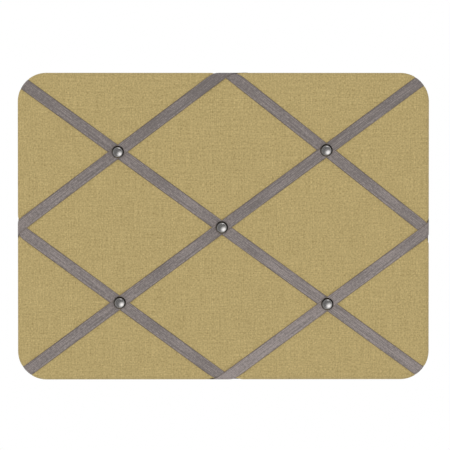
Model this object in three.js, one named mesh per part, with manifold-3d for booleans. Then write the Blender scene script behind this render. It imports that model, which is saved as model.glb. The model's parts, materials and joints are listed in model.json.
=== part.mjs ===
// A padded memo board for the wall: cloth over wadding and a stiff core, crossed by ribbons that
// domed tacks hold down, with a hardboard back and two ring hangers.
// Millimetres, +Z up, the front faces -Y and +X is to the right as seen from the front.
// The origin is the middle of the back panel's outer face, the face that goes to the wall.
import * as THREE from "three";
import { mergeVertices } from "three/addons/utils/BufferGeometryUtils.js";
import Module from "manifold-3d";

const wasm = await Module();
wasm.setup();

// Board
const boardWidth = 445;
const boardHeight = 332;
const cornerRadius = 31;
const coreThickness = 9;
const panelThickness = 3;
const panelMargin = 9;
const seatGap = 0.3;

// Cloth and wadding
const clothThickness = 0.8;
const hemWidth = 16;
const frontRoll = 6;
const backRoll = 2;
const edgeWadding = 2;
const faceWadding = 5;
const pillowRise = 3;
const channelSink = 0.6;
const ribbonReach = 60;
const edgeReach = 40;
const pillowCells = 12;

// Ribbons
const ribbonWidth = 12.7;
const ribbonThickness = 0.5;
const tailLength = 16;
const tailRamp = 3;
const liftMargin = 2;
const liftRamp = 8;

// Tacks
const tackHeadRadius = 6.4;
const tackHeadHeight = 4.2;
const tackRimHeight = 0.7;
const tackShankRadius = 0.9;
const tackShankLength = 15;
const tackPoint = 3;

// Staples
const stapleWidth = 10;
const stapleLeg = 6;
const stapleWire = 0.6;
const stapleBand = 1.1;
const hemStapleInset = 10;
const hemStapleEnd = 30;
const hemStapleSpacing = 75;

// Ring hangers
const hangerSpacing = 220;
const hangerDrop = 45;
const strapWidth = 9;
const strapLength = 27;
const strapThickness = 1.6;
const loopWall = 0.8;
const ringWire = 2;
const ringWidth = 14;
const ringDepth = 11;
const ringBend = 2.2;
const ringButtGap = 0.5;
const screwDrop = 20;
const screwHeadRadius = 3.2;
const screwHeadHeight = 2;
const screwRadius = 1.5;
const screwLength = 12;
const screwPoint = 2.5;
const screwSlotWidth = 0.8;
const screwSlotLength = 3.6;
const screwSlotDepth = 1;

// Facets of round forms
const cornerFacets = 3;
const holeFacets = 5;
const rollFacets = 3;
const headFacets = 20;
const wireFacets = 4;
const ringSteps = 40;
const domeFacets = 6;

// Layers from the wall to the front, as places along Y
const halfWidth = boardWidth / 2;
const halfHeight = boardHeight / 2;
const panelFront = -panelThickness;
const hemBack = panelFront - Math.max(ribbonThickness, stapleWire) - 2 * seatGap;
const coreBack = hemBack - clothThickness - seatGap;
const coreFront = coreBack - coreThickness;
const waddingInset = clothThickness + seatGap;
const clothFront = coreFront - seatGap - faceWadding - waddingInset;
const coreInset = waddingInset + edgeWadding + seatGap;
const farAway = boardWidth;
const mergeDistance = 1e-4;

// Materials
const clothFinish = { color: 0xb4a06d, roughness: 0.95, metalness: 0 };
const ribbonFinish = { color: 0x847c79, roughness: 0.7, metalness: 0 };
const waddingFinish = { color: 0xf1efe8, roughness: 1, metalness: 0 };
const coreFinish = { color: 0xa8875f, roughness: 0.9, metalness: 0 };
const panelFinish = { color: 0x6a4b32, roughness: 0.6, metalness: 0 };
const tackFinish = { color: 0x8f8d8c, roughness: 0.25, metalness: 1 };
const steelFinish = { color: 0xb9bbbe, roughness: 0.35, metalness: 1 };

// A closed geometry as a solid that can be joined and cut.
function solidFrom(geometry) {
  const bare = new THREE.BufferGeometry();
  const whole = geometry.index ? geometry.toNonIndexed() : geometry;
  bare.setAttribute("position", whole.getAttribute("position"));
  const merged = mergeVertices(bare, mergeDistance);
  return new wasm.Manifold(
    new wasm.Mesh({
      numProp: 3,
      vertProperties: merged.attributes.position.array,
      triVerts: new Uint32Array(merged.index.array),
    }),
  );
}

// A solid as a geometry that a mesh can show.
function geometryFrom(solid) {
  const cut = solid.getMesh();
  const geometry = new THREE.BufferGeometry();
  geometry.setAttribute("position", new THREE.BufferAttribute(cut.vertProperties, cut.numProp));
  geometry.setIndex(new THREE.BufferAttribute(cut.triVerts, 1));
  return geometry;
}

// A closed skin through rings of points. Each ring runs anticlockwise seen along the way of travel.
function loft(rings) {
  const count = rings[0].length;
  const faces = [];
  for (let i = 1; i < count - 1; i += 1) {
    const last = (rings.length - 1) * count;
    faces.push(0, i, i + 1, last, last + i + 1, last + i);
  }
  for (let r = 0; r < rings.length - 1; r += 1) {
    for (let i = 0; i < count; i += 1) {
      const here = r * count + i;
      const next = r * count + ((i + 1) % count);
      faces.push(here, here + count, next + count, here, next + count, next);
    }
  }
  const geometry = new THREE.BufferGeometry();
  geometry.setAttribute("position", new THREE.Float32BufferAttribute(rings.flat(2), 3));
  geometry.setIndex(faces);
  return geometry;
}

// The board's rounded outline, a given distance inside its edge.
function boardOutline(inset) {
  const radius = cornerRadius - inset;
  const x = halfWidth - cornerRadius;
  const z = halfHeight - cornerRadius;
  const outline = new THREE.Shape();
  outline.absarc(x, z, radius, 0, Math.PI / 2);
  outline.absarc(-x, z, radius, Math.PI / 2, Math.PI);
  outline.absarc(-x, -z, radius, Math.PI, 1.5 * Math.PI);
  outline.absarc(x, -z, radius, 1.5 * Math.PI, 2 * Math.PI);
  return outline;
}

// A plate with a flat outline in X and Z, between two places along Y.
function plate(outline, back, front, facets = cornerFacets) {
  const options = { depth: back - front, bevelEnabled: false, curveSegments: facets };
  const geometry = new THREE.ExtrudeGeometry(outline, options);
  return geometry.rotateX(Math.PI / 2).translate(0, back, 0);
}

// A round rod along Y at a place on the board.
function rod(radius, back, front, x, z) {
  const outline = new THREE.Shape().absarc(x, z, radius, 0, 2 * Math.PI);
  return solidFrom(plate(outline, back, front, holeFacets));
}

// Ribbon ends: a place on the outline and the outward direction of the edge there.
// The lay is how far the hand-laid ribbon sits from the even place, along the edge.
function middleOfEdge(sideX, sideZ, lay) {
  const normal = new THREE.Vector2(sideX, sideZ);
  const along = new THREE.Vector2(Math.abs(sideZ), Math.abs(sideX));
  const place = new THREE.Vector2(sideX * halfWidth, sideZ * halfHeight);
  return { place: place.addScaledVector(along, lay), normal };
}

function middleOfCorner(sideX, sideZ, lay) {
  const angle = Math.PI / 4 + lay / cornerRadius;
  const normal = new THREE.Vector2(sideX * Math.cos(angle), sideZ * Math.sin(angle));
  const place = new THREE.Vector2(
    sideX * (halfWidth - cornerRadius),
    sideZ * (halfHeight - cornerRadius),
  );
  return { place: place.addScaledVector(normal, cornerRadius), normal };
}

// Each ribbon from end to end. The rising ones are laid over the falling ones.
const ribbons = {
  long_falling: { ends: [middleOfCorner(-1, 1, -3.7), middleOfCorner(1, -1, 0.5)] },
  top_right: { ends: [middleOfEdge(0, 1, 5.3), middleOfEdge(1, 0, -5.9)] },
  bottom_left: { ends: [middleOfEdge(-1, 0, -2.1), middleOfEdge(0, -1, 1.9)] },
  long_rising: { ends: [middleOfCorner(-1, -1, 0.2), middleOfCorner(1, 1, 0.6)] },
  top_left: { ends: [middleOfEdge(-1, 0, -1.1), middleOfEdge(0, 1, -0.7)], meets: true },
  bottom_right: { ends: [middleOfEdge(0, -1, 0.6), middleOfEdge(1, 0, -3)], meets: true },
};
for (const ribbon of Object.values(ribbons)) {
  ribbon.start = ribbon.ends[0].place;
  ribbon.way = ribbon.ends[1].place.clone().sub(ribbon.start);
  ribbon.length = ribbon.way.length();
  ribbon.way.normalize();
}

// Where two ribbons' centre-lines cross.
function crossing(one, other) {
  const between = other.start.clone().sub(one.start);
  const run = between.cross(other.way) / one.way.cross(other.way);
  return one.start.clone().addScaledVector(one.way, run);
}

// How far a ribbon lies over another, along it from the middle of their crossing.
function overlapReach(one, other) {
  const along = Math.abs(one.way.dot(other.way));
  const across = Math.abs(one.way.cross(other.way));
  return ((ribbonWidth / 2) * (1 + along)) / across + liftMargin;
}

// How far from its end on the edge a ribbon lies flat: past the rolled edge and its own slant.
function flatFrom(end, way) {
  const straight = Math.abs(way.dot(end.normal));
  const slant = Math.abs(way.cross(end.normal));
  return (frontRoll + (ribbonWidth / 2) * slant) / straight + liftMargin;
}

// A tack sits on each crossing inside the board.
const tacks = {
  centre: ["long_rising", "long_falling"],
  upper_left: ["top_left", "long_falling"],
  upper_right: ["long_rising", "top_right"],
  lower_left: ["long_rising", "bottom_left"],
  lower_right: ["bottom_right", "long_falling"],
};
const tackPlaces = {};
for (const [name, [over, under]] of Object.entries(tacks)) {
  tackPlaces[name] = crossing(ribbons[over], ribbons[under]);
}

// The height of the padding over the channel floor: it swells between the ribbons and the edges.
function swell(share) {
  return Math.sin((Math.PI / 2) * Math.min(Math.max(share, 0), 1)) ** 2;
}

function pillowHeight(x, z) {
  const cornerX = Math.max(Math.abs(x) - halfWidth + cornerRadius, 0);
  const cornerZ = Math.max(Math.abs(z) - halfHeight + cornerRadius, 0);
  const inCorner = cornerX > 0 && cornerZ > 0;
  const edgeDistance = inCorner
    ? cornerRadius - Math.hypot(cornerX, cornerZ)
    : Math.min(halfWidth - Math.abs(x), halfHeight - Math.abs(z));
  let fullness = swell((edgeDistance - frontRoll) / edgeReach);
  for (const ribbon of Object.values(ribbons)) {
    const across = new THREE.Vector2(x, z).sub(ribbon.start).cross(ribbon.way);
    fullness *= swell(Math.abs(across) / ribbonReach);
  }
  return (pillowRise + channelSink) * fullness - channelSink;
}

// The pillows between the ribbons: a lattice of cells whose diagonals follow the ribbons.
function pillows(inset) {
  const front = [];
  const back = [];
  for (let row = 0; row <= pillowCells; row += 1) {
    for (let column = 0; column <= pillowCells; column += 1) {
      const x = boardWidth * (column / pillowCells - 0.5);
      const z = boardHeight * (row / pillowCells - 0.5);
      front.push([x, clothFront + inset - pillowHeight(x, z), z]);
      back.push([x, clothFront + inset + frontRoll / 2, z]);
    }
  }
  const points = [...front, ...back];
  const faces = [];
  const square = (a, b, c, d) => faces.push(a, b, c, a, c, d);
  const line = pillowCells + 1;
  const behind = line * line;
  for (let row = 0; row < pillowCells; row += 1) {
    for (let column = 0; column < pillowCells; column += 1) {
      const [a, b] = [row * line + column, row * line + column + 1];
      const [c, d] = [b + line, a + line];
      const rising = front[a][1] + front[c][1] > front[b][1] + front[d][1];
      if (rising) square(a, b, c, d);
      else square(b, c, d, a);
      square(behind + a, behind + d, behind + c, behind + b);
    }
  }
  for (let i = 0; i < pillowCells; i += 1) {
    const [low, high] = [i, pillowCells * line + i];
    const [left, right] = [i * line, i * line + pillowCells];
    square(low, behind + low, behind + low + 1, low + 1);
    square(high + 1, behind + high + 1, behind + high, high);
    square(left + line, behind + left + line, behind + left, left);
    square(right, behind + right, behind + right + line, right + line);
  }
  const geometry = new THREE.BufferGeometry();
  geometry.setAttribute("position", new THREE.Float32BufferAttribute(points.flat(), 3));
  geometry.setIndex(faces);
  return solidFrom(geometry).intersect(solidFrom(plate(boardOutline(frontRoll), 0, -farAway)));
}

// The covered board as a solid form, a given depth under the cloth's outer face:
// rolled front edge, straight sides, a small roll to the back, and the pillows on the front.
function paddedForm(inset) {
  const rings = [];
  const addRing = (edgeInset, y) => {
    const outline = boardOutline(edgeInset).getPoints(cornerFacets);
    rings.push(outline.map((point) => [point.x, y, point.y]));
  };
  const frontRadius = frontRoll - inset;
  const backRadius = backRoll - inset;
  for (let step = 0; step <= rollFacets; step += 1) {
    const turn = ((Math.PI / 2) * step) / rollFacets;
    addRing(frontRoll - frontRadius * Math.sin(turn), clothFront + frontRoll - frontRadius * Math.cos(turn));
  }
  for (let step = 0; step < rollFacets; step += 1) {
    const turn = ((Math.PI / 2) * step) / (rollFacets - 1);
    addRing(backRoll - backRadius * Math.cos(turn), hemBack - backRoll + backRadius * Math.sin(turn));
  }
  return solidFrom(loft(rings)).add(pillows(inset));
}

// A ribbon's cross-sections round one edge, from the front over the side to its tail on the back.
// The ribbon keeps its slant to the edge all the way round, as a straight strip does.
function wrapSections(end, way, lifted) {
  const straight = way.dot(end.normal);
  const tangent = new THREE.Vector2(end.normal.y, -end.normal.x);
  const slant = way.dot(tangent) / straight;
  const half = ribbonWidth / 2 / straight;
  const lift = lifted ? ribbonThickness + seatGap : 0;
  const sections = [];
  const add = (out, y, run, turn) => {
    const middle = end.place.clone().addScaledVector(end.normal, out).addScaledVector(tangent, run * slant);
    const side = tangent.clone().multiplyScalar(half);
    const right = middle.clone().add(side);
    const left = middle.clone().sub(side);
    const outward = end.normal.clone().multiplyScalar(Math.sin(turn));
    sections.push({
      right: [right.x, y, right.y],
      left: [left.x, y, left.y],
      outward: [outward.x, -Math.cos(turn), outward.y],
    });
  };
  const frontRadius = frontRoll + seatGap + lift;
  const backRadius = backRoll + seatGap;
  const sideLength = hemBack - backRoll - clothFront - frontRoll;
  for (let step = 0; step <= rollFacets + 1; step += 1) {
    const turn = ((Math.PI / 2) * step) / (rollFacets + 1);
    const y = clothFront + frontRoll - frontRadius * Math.cos(turn);
    add(frontRadius * Math.sin(turn) - frontRoll, y, frontRoll * (turn - 1), turn);
  }
  const sideEnd = frontRoll * (Math.PI / 2 - 1) + sideLength;
  add(seatGap + lift, hemBack - backRoll, sideEnd, Math.PI / 2);
  for (let step = 1; step <= rollFacets; step += 1) {
    const turn = ((Math.PI / 2) * step) / rollFacets;
    const y = hemBack - backRoll + backRadius * Math.sin(turn);
    const fade = lift * Math.cos(turn);
    add((backRadius + fade) * Math.cos(turn) - backRoll, y, sideEnd + backRoll * turn, Math.PI / 2 + turn);
  }
  const backEdge = sideEnd + backRoll * (Math.PI / 2 - 1);
  const stepAt = hemWidth + half;
  const lowAt = stepAt + tailRamp;
  const tailAt = lowAt + tailLength;
  add(-stepAt, hemBack + seatGap, backEdge + stepAt, Math.PI);
  add(-lowAt, coreBack + seatGap, backEdge + lowAt, Math.PI);
  add(-tailAt, coreBack + seatGap, backEdge + tailAt, Math.PI);
  return sections;
}

// The cross-sections of a ribbon's straight run over the front.
function frontSections(ribbon) {
  const lift = ribbonThickness + seatGap;
  const stations = [];
  const endLift = ribbon.meets ? lift : 0;
  const [first, last] = ribbon.ends.map((end) => flatFrom(end, ribbon.way));
  stations.push([first, endLift], [first + liftRamp, 0]);
  stations.push([ribbon.length - last - liftRamp, 0], [ribbon.length - last, endLift]);
  for (const [name, [over, under]] of Object.entries(tacks)) {
    if (ribbons[over] !== ribbon) continue;
    const middle = tackPlaces[name].clone().sub(ribbon.start).dot(ribbon.way);
    const near = overlapReach(ribbon, ribbons[under]);
    const far = near + liftRamp;
    stations.push([middle - far, 0], [middle - near, lift]);
    stations.push([middle + near, lift], [middle + far, 0]);
  }
  stations.sort((one, other) => one[0] - other[0]);
  const side = new THREE.Vector2(ribbon.way.y, -ribbon.way.x).multiplyScalar(ribbonWidth / 2);
  return stations.map(([run, raised]) => {
    const middle = ribbon.start.clone().addScaledVector(ribbon.way, run);
    const right = middle.clone().add(side);
    const left = middle.clone().sub(side);
    const y = clothFront - seatGap - raised;
    return { right: [right.x, y, right.y], left: [left.x, y, left.y], outward: [0, -1, 0] };
  });
}

function ribbonSolid(ribbon) {
  const [first, second] = ribbon.ends;
  const wayBack = ribbon.way.clone().negate();
  const start = wrapSections(first, wayBack, ribbon.meets).reverse();
  const swapped = start.map(({ left, right, outward }) => ({ left: right, right: left, outward }));
  const sections = [...swapped, ...frontSections(ribbon), ...wrapSections(second, ribbon.way, ribbon.meets)];
  const rings = sections.map(({ left, right, outward }) => {
    const raise = (point) => point.map((value, axis) => value + outward[axis] * ribbonThickness);
    return [right, raise(right), raise(left), left];
  });
  return solidFrom(loft(rings));
}

// A staple: a flat wire bent square, its crown towards the wall and its legs into the core.
function stapleGeometry(clearance) {
  const outer = stapleWidth / 2 + clearance;
  const inner = stapleWidth / 2 - stapleWire - clearance;
  const outline = new THREE.Shape();
  outline.moveTo(-outer, stapleWire);
  outline.lineTo(-outer, -stapleLeg - clearance);
  outline.lineTo(-inner, -stapleLeg - clearance);
  outline.lineTo(-inner, 0);
  outline.lineTo(inner, 0);
  outline.lineTo(inner, -stapleLeg - clearance);
  outline.lineTo(outer, -stapleLeg - clearance);
  outline.lineTo(outer, stapleWire);
  outline.closePath();
  const depth = stapleBand + 2 * clearance;
  return new THREE.ExtrudeGeometry(outline, { depth, bevelEnabled: false }).translate(0, 0, -depth / 2);
}

// Staple places: on each ribbon's tail, square across it, and along the hem.
const staples = [];
const ribbonCrown = coreBack + ribbonThickness + 2 * seatGap;
const hemCrown = hemBack + seatGap;
for (const [name, ribbon] of Object.entries(ribbons)) {
  const ways = [ribbon.way.clone().negate(), ribbon.way];
  ribbon.ends.forEach((end, index) => {
    const tail = wrapSections(end, ways[index], ribbon.meets).slice(-2);
    const points = tail.flatMap(({ left, right }) => [left, right]);
    const x = points.reduce((sum, point) => sum + point[0], 0) / points.length;
    const z = points.reduce((sum, point) => sum + point[2], 0) / points.length;
    const runX = points[2][0] - points[0][0];
    const runZ = points[2][2] - points[0][2];
    const side = index === 0 ? "start" : "finish";
    staples.push({ name: `staple_${name}_${side}`, x, z, crown: ribbonCrown, turn: Math.atan2(runX, runZ) });
  });
}
const lastOnLongSide = halfWidth - cornerRadius - hemStapleEnd;
const lastOnShortSide = halfHeight - cornerRadius - hemStapleEnd;
const nextOnLongSide = lastOnLongSide - hemStapleSpacing;
for (const [side, sign] of [["top", 1], ["bottom", -1]]) {
  [-lastOnLongSide, -nextOnLongSide, nextOnLongSide, lastOnLongSide].forEach((x, index) => {
    const z = sign * (halfHeight - hemStapleInset);
    staples.push({ name: `staple_hem_${side}_${index + 1}`, x, z, crown: hemCrown, turn: 0 });
  });
}
for (const [side, sign] of [["right", 1], ["left", -1]]) {
  [-lastOnShortSide, lastOnShortSide].forEach((z, index) => {
    const x = sign * (halfWidth - hemStapleInset);
    staples.push({ name: `staple_hem_${side}_${index + 1}`, x, z, crown: hemCrown, turn: Math.PI / 2 });
  });
}
function stapleMatrix(staple) {
  return new THREE.Matrix4().makeRotationY(staple.turn).setPosition(staple.x, staple.crown, staple.z);
}

// The room that the staples, tacks and hanger screws need in the pieces they go through.
const tackSeat = clothFront - 2 * ribbonThickness - 3 * seatGap;
const tackTip = tackSeat + tackShankLength;
const hangerZ = halfHeight - hangerDrop;
const hangerPlaces = { left: -hangerSpacing / 2, right: hangerSpacing / 2 };
const strapBack = seatGap;
const strapFace = strapBack + strapThickness;
const screwSeat = strapFace + seatGap;
const screwZ = hangerZ - screwDrop;
const stapleRoom = staples.map((staple) =>
  solidFrom(stapleGeometry(seatGap).applyMatrix4(stapleMatrix(staple))),
);
const tackRoom = Object.values(tackPlaces).map((place) =>
  rod(tackShankRadius + seatGap, tackTip + seatGap, tackSeat - seatGap, place.x, place.y),
);
const screwRoom = Object.values(hangerPlaces).map((x) =>
  rod(screwRadius + seatGap, screwSeat, screwSeat - screwLength - seatGap, x, screwZ),
);

function cutAway(solid, rooms) {
  return rooms.reduce((left, room) => left.subtract(room), solid);
}

const board = new THREE.Group();

function addMesh(name, geometry, finish) {
  const mesh = new THREE.Mesh(geometry, new THREE.MeshStandardMaterial(finish));
  mesh.name = name;
  board.add(mesh);
  return mesh;
}

// Core
const coreBlank = solidFrom(plate(boardOutline(coreInset), coreBack, coreFront));
const core = cutAway(coreBlank, [...stapleRoom, ...tackRoom, ...screwRoom]);
addMesh("core_board", geometryFrom(core), coreFinish);

// Wadding over the front of the core and round its sides
const pocketOutline = boardOutline(coreInset - seatGap);
const pocket = solidFrom(plate(pocketOutline, 0, coreFront - seatGap));
const wadding = cutAway(paddedForm(waddingInset), [pocket, ...tackRoom]);
addMesh("wadding_pad", geometryFrom(wadding), waddingFinish);

// Cloth: a skin over the padded form, open on the back inside its hem
const hemWindow = solidFrom(plate(boardOutline(hemWidth), 0, coreFront));
const clothRoom = [paddedForm(clothThickness), hemWindow, ...tackRoom, ...stapleRoom];
addMesh("cover_cloth", geometryFrom(cutAway(paddedForm(0), clothRoom)), clothFinish);

// Ribbons
for (const [name, ribbon] of Object.entries(ribbons)) {
  const strip = cutAway(ribbonSolid(ribbon), [...tackRoom, ...stapleRoom]);
  addMesh(`ribbon_${name}`, geometryFrom(strip), ribbonFinish);
}

// Tacks: a thin rim, a domed head and a pointed shank, turned about the Y axis
const tackProfile = [];
for (let step = 0; step <= domeFacets; step += 1) {
  const turn = ((Math.PI / 2) * step) / domeFacets;
  const height = tackRimHeight + (tackHeadHeight - tackRimHeight) * Math.cos(turn);
  tackProfile.push(new THREE.Vector2(tackHeadRadius * Math.sin(turn), -height));
}
tackProfile.push(new THREE.Vector2(tackHeadRadius, 0));
tackProfile.push(new THREE.Vector2(tackShankRadius, 0));
tackProfile.push(new THREE.Vector2(tackShankRadius, tackShankLength - tackPoint));
tackProfile.push(new THREE.Vector2(0, tackShankLength));
for (const [name, place] of Object.entries(tackPlaces)) {
  const tack = addMesh(`tack_${name}`, new THREE.LatheGeometry(tackProfile, headFacets), tackFinish);
  tack.position.set(place.x, tackSeat, place.y);
}

// Staples
for (const staple of staples) {
  const mesh = addMesh(staple.name, stapleGeometry(0), steelFinish);
  mesh.position.set(staple.x, staple.crown, staple.z);
  mesh.rotation.y = staple.turn;
}

// Back panel: a plain middle field and two side fields that take the hanger screws
const fieldEdge = hangerSpacing / 4;
const panelBlank = solidFrom(plate(boardOutline(panelMargin), 0, panelFront));
const fieldOutline = new THREE.Shape();
fieldOutline.moveTo(-fieldEdge, -farAway);
fieldOutline.lineTo(fieldEdge, -farAway);
fieldOutline.lineTo(fieldEdge, farAway);
fieldOutline.lineTo(-fieldEdge, farAway);
fieldOutline.closePath();
const field = solidFrom(plate(fieldOutline, farAway, -farAway));
const sideFields = cutAway(panelBlank.subtract(field), screwRoom);
addMesh("back_panel", geometryFrom(panelBlank.intersect(field).add(sideFields)), panelFinish);

// Ring hangers: a strap whose rolled end holds the ring's straight bar
const boreRadius = ringWire / 2 + seatGap;
const loopRadius = boreRadius + loopWall;
const barY = strapFace + boreRadius;
const alongX = new THREE.Matrix4().makeBasis(
  new THREE.Vector3(0, 1, 0),
  new THREE.Vector3(0, 0, 1),
  new THREE.Vector3(1, 0, 0),
);

function strapSolid() {
  const end = strapWidth / 2;
  const flat = new THREE.Shape();
  flat.moveTo(end, 0);
  flat.lineTo(-end, 0);
  flat.absarc(0, end - strapLength, end, Math.PI, 2 * Math.PI);
  flat.closePath();
  const roll = new THREE.Shape().absarc(barY, 0, loopRadius, 0, 2 * Math.PI);
  const bore = new THREE.Shape().absarc(barY, 0, boreRadius, 0, 2 * Math.PI);
  const options = { depth: strapWidth, bevelEnabled: false, curveSegments: 2 * wireFacets };
  const rolled = (outline) => {
    const geometry = new THREE.ExtrudeGeometry(outline, options).translate(0, 0, -end);
    return solidFrom(geometry.applyMatrix4(alongX));
  };
  const body = solidFrom(plate(flat, strapFace, strapBack)).add(rolled(roll));
  return body.subtract(rolled(bore)).subtract(rod(screwRadius + seatGap, screwSeat, -seatGap, 0, -screwDrop));
}

// The ring's wire runs from the middle of its bar round the bow and back to a small butt gap.
class RingPath extends THREE.Curve {
  constructor() {
    super();
    const side = ringWidth / 2;
    const bow = ringDepth - side;
    this.flat = new THREE.Path();
    this.flat.moveTo(ringButtGap / 2, 0);
    this.flat.lineTo(side - ringBend, 0);
    this.flat.absarc(side - ringBend, -ringBend, ringBend, Math.PI / 2, 0, true);
    this.flat.lineTo(side, -bow);
    this.flat.absarc(0, -bow, side, 0, -Math.PI, true);
    this.flat.lineTo(-side, -ringBend);
    this.flat.absarc(ringBend - side, -ringBend, ringBend, Math.PI, Math.PI / 2, true);
    this.flat.lineTo(-ringButtGap / 2, 0);
  }

  getPoint(share, target = new THREE.Vector3()) {
    const point = this.flat.getPointAt(share);
    return target.set(point.x, 0, point.y);
  }
}

function screwSolid() {
  const profile = [];
  profile.push(new THREE.Vector2(0, -screwLength));
  profile.push(new THREE.Vector2(screwRadius, screwPoint - screwLength));
  profile.push(new THREE.Vector2(screwRadius, 0));
  profile.push(new THREE.Vector2(screwHeadRadius, 0));
  profile.push(new THREE.Vector2(screwHeadRadius, screwHeadHeight / 2));
  profile.push(new THREE.Vector2(screwHeadRadius * Math.SQRT1_2, screwHeadHeight));
  profile.push(new THREE.Vector2(0, screwHeadHeight));
  const slot = new THREE.BoxGeometry(screwSlotLength, 2 * screwSlotDepth, screwSlotWidth);
  slot.translate(0, screwHeadHeight, 0);
  const crossSlot = slot.clone().rotateY(Math.PI / 2);
  const turned = solidFrom(new THREE.LatheGeometry(profile, headFacets));
  return turned.subtract(solidFrom(slot)).subtract(solidFrom(crossSlot));
}

const wireSection = new THREE.Shape().absarc(0, 0, ringWire / 2, 0, 2 * Math.PI);
for (const [side, x] of Object.entries(hangerPlaces)) {
  const strap = addMesh(`hanger_strap_${side}`, geometryFrom(strapSolid()), steelFinish);
  strap.position.set(x, 0, hangerZ);
  const ringOptions = { steps: ringSteps, curveSegments: wireFacets, extrudePath: new RingPath() };
  const ringGeometry = new THREE.ExtrudeGeometry(wireSection, ringOptions);
  const ring = addMesh(`hanger_ring_${side}`, ringGeometry, steelFinish);
  ring.position.set(x, barY, hangerZ);
  const screw = addMesh(`hanger_screw_${side}`, geometryFrom(screwSolid()), steelFinish);
  screw.position.set(x, screwSeat, screwZ);
}

export default board;
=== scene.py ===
# A padded memo board for the wall: khaki cloth over wadding and a stiff core, six grey ribbons held
# down by domed tacks, a hardboard back and two ring hangers.
# Metres, +Z up. The front faces -Y, and the origin is the middle of the back panel's outer face.
import json
import math

import bmesh
import bpy
import numpy as np
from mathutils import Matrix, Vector


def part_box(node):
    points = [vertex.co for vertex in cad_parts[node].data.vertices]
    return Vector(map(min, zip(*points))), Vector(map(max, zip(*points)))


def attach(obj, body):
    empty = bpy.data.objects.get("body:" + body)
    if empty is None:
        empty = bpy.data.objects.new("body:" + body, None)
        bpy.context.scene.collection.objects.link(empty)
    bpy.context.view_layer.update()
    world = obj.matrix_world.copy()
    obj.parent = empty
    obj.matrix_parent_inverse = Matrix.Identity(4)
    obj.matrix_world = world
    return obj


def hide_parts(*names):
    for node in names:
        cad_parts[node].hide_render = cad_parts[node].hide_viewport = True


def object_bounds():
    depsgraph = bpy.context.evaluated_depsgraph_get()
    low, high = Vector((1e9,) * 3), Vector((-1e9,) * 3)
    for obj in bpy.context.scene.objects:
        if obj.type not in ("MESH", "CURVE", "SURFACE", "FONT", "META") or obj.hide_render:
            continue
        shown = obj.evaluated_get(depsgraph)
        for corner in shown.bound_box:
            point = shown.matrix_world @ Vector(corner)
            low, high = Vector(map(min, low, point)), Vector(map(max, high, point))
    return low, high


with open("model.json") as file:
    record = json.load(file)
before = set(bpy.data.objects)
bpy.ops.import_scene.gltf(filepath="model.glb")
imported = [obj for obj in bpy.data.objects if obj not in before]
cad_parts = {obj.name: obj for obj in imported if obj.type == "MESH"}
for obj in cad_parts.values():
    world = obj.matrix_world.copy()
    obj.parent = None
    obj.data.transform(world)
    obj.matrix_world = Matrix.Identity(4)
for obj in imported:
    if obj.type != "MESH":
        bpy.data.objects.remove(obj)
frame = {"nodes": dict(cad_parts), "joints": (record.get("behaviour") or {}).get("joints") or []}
cad_low, cad_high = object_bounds()
scene = bpy.context.scene
scene.view_settings.view_transform = "Standard"


# Camera
# The photograph looks straight at the front from a few metres off. The board sits a little left of and
# below the picture's middle, and its top left lies a touch nearer than its bottom right.
PICTURE_SIDE = 450
BOARD_IN_PICTURE = 410.8
BOARD_MIDDLE_IN_PICTURE = (223.5, 226.2)
VIEW_DISTANCE = 4.0
VIEW_FROM_LEFT = math.radians(0.8)
VIEW_FROM_ABOVE = math.radians(1.4)
SENSOR_WIDTH = 36.0


def box(node):
    """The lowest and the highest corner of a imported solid."""
    low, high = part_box(node)
    return np.array(low), np.array(high)


cloth_low, cloth_high = box("cover_cloth")
board_width, _, board_height = cloth_high - cloth_low
metres_per_pixel = board_width / BOARD_IN_PICTURE
aim = Vector((
    (PICTURE_SIDE / 2 - BOARD_MIDDLE_IN_PICTURE[0]) * metres_per_pixel,
    (cloth_low[1] + cloth_high[1]) / 2,
    (BOARD_MIDDLE_IN_PICTURE[1] - PICTURE_SIDE / 2) * metres_per_pixel,
))
towards_camera = Vector((
    -math.sin(VIEW_FROM_LEFT) * math.cos(VIEW_FROM_ABOVE),
    -math.cos(VIEW_FROM_LEFT) * math.cos(VIEW_FROM_ABOVE),
    math.sin(VIEW_FROM_ABOVE),
))
camera_data = bpy.data.cameras.new("camera")
camera_data.sensor_width = SENSOR_WIDTH
camera_data.lens = SENSOR_WIDTH * VIEW_DISTANCE / (PICTURE_SIDE * metres_per_pixel)
camera = bpy.data.objects.new("camera", camera_data)
camera.location = aim + towards_camera * VIEW_DISTANCE
camera.rotation_euler = (-towards_camera).to_track_quat("-Z", "Y").to_euler()
scene.collection.objects.link(camera)
scene.camera = camera


# Floor and studio light
# A plain white studio: even light all round and a soft window in front, on the left, over a pale floor.
# A grey screen in front of the board, a soft glow and a bright card show only in polished metal.
WHITE = (1, 1, 1, 1)
ROOM_LIGHT = 0.87
WINDOW_FROM = (-0.30, -0.93, -0.20)
WINDOW_STRENGTH = 0.57
WINDOW_SPREAD = math.radians(18)
FLOOR_DROP = 0.45
FLOOR_HALF_SIDE = 6.0
FLOOR_COLOUR = (0.86, 0.86, 0.86, 1)
FLOOR_SHADOW_NEAR = 0.3
FLOOR_SHADOW_FAR = 0.9
SCREEN_AHEAD = 3.2
SCREEN_MIDDLE = -1.0
SCREEN_HALF_SIDE = 7.0
SCREEN_GREY = 0.36
CARD_DISTANCE = 2.4
GLOW_FROM = (0.42, -0.78, -0.46)
GLOW_HALF_SIDE = 2.3
GLOW_STRENGTH = 3.1
TOP_CARD_FROM = (0.25, -0.44, 0.86)
TOP_CARD_HALF_SIDE = 0.45
TOP_CARD_STRENGTH = 2.6
SQUARE = ((-1, -1), (1, -1), (1, 1), (-1, 1))


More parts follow.
